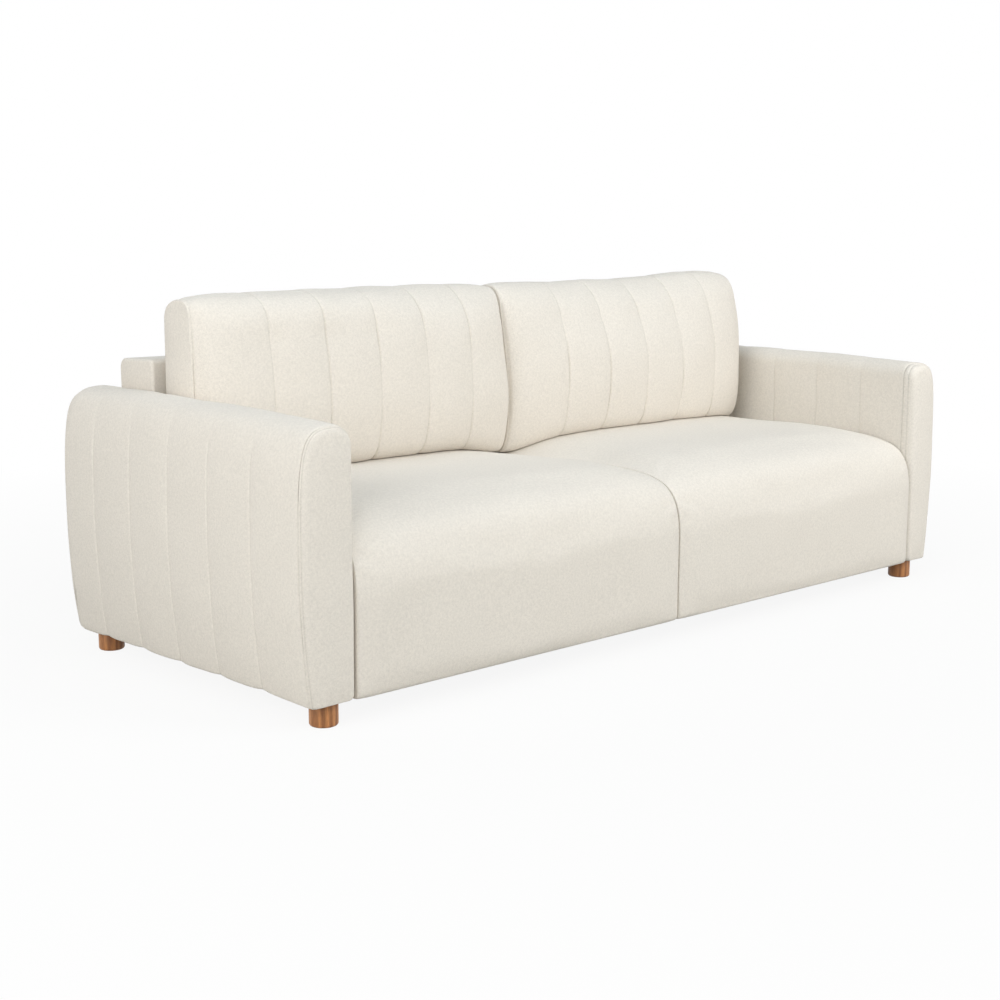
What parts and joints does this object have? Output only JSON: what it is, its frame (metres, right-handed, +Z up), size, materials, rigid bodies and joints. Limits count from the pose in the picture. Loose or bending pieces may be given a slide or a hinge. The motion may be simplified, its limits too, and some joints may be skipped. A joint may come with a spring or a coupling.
{
  "type": "tuxedo sofa",
  "caption": "Upholstered sofa with channel-stitched arms and loose back cushions, arms level with a low back, waterfall seats and short round wooden feet.",
  "frame": {"origin": "middle of the footprint, on the floor under the sofa", "axes": "+X along the sofa to the right as seen from the front, +Y towards the back, +Z up"},
  "size_m": [2.224, 0.934, 0.8479],
  "materials": {
    "upholstery": "fine woven bouclé-like cream fabric, matt, sewn in channels",
    "foam": "cut polyurethane foam, open cell",
    "webbing": "woven elastic webbing, black",
    "dust_cloth": "spun fibre cloth, black",
    "frame_timber": "sawn pine, unfinished",
    "foot_wood": "turned hardwood, stained mid brown, satin lacquer",
    "steel": "zinc plated bolts and drawn spring wire",
    "zip_tape": "woven zip tape with its coil"
  },
  "bodies": {
    "root": {"left_arm_cover": "upholstery", "left_arm_front_facing": "upholstery", "left_arm_rear_facing": "upholstery", "left_arm_top_rail": "frame_timber", "left_arm_bottom_rail": "frame_timber", "left_arm_front_post": "frame_timber", "left_arm_rear_post": "frame_timber", "right_arm_cover": "upholstery", "right_arm_front_facing": "upholstery", "right_arm_rear_facing": "upholstery", "right_arm_top_rail": "frame_timber", "right_arm_bottom_rail": "frame_timber", "right_arm_front_post": "frame_timber", "right_arm_rear_post": "frame_timber", "back_cover": "upholstery", "outside_back_panel": "upholstery", "back_top_rail": "frame_timber", "back_left_upright": "frame_timber", "back_right_upright": "frame_timber", "back_centre_upright": "frame_timber", "back_lower_webbing": "webbing", "back_upper_webbing": "webbing", "base_front_rail": "frame_timber", "base_rear_rail": "frame_timber", "base_left_rail": "frame_timber", "base_right_rail": "frame_timber", "base_centre_rail": "frame_timber", "left_seat_cover": "upholstery", "left_seat_foam": "foam", "left_seat_spring_1": "steel", "left_seat_spring_2": "steel", "left_seat_spring_3": "steel", "left_seat_spring_4": "steel", "right_seat_cover": "upholstery", "right_seat_foam": "foam", "right_seat_spring_1": "steel", "right_seat_spring_2": "steel", "right_seat_spring_3": "steel", "right_seat_spring_4": "steel", "left_back_cushion_cover": "upholstery", "left_back_cushion_core": "foam", "left_back_cushion_zip": "zip_tape", "right_back_cushion_cover": "upholstery", "right_back_cushion_core": "foam", "right_back_cushion_zip": "zip_tape", "foot_front_left": "foot_wood", "foot_pin_front_left": "steel", "foot_front_right": "foot_wood", "foot_pin_front_right": "steel", "foot_rear_left": "foot_wood", "foot_pin_rear_left": "steel", "foot_rear_right": "foot_wood", "foot_pin_rear_right": "steel", "foot_centre": "foot_wood", "foot_pin_centre": "steel", "left_front_arm_bolt": "steel", "left_rear_arm_bolt": "steel", "right_front_arm_bolt": "steel", "right_rear_arm_bolt": "steel", "dust_cover": "dust_cloth"}
  },
  "joints": []
}
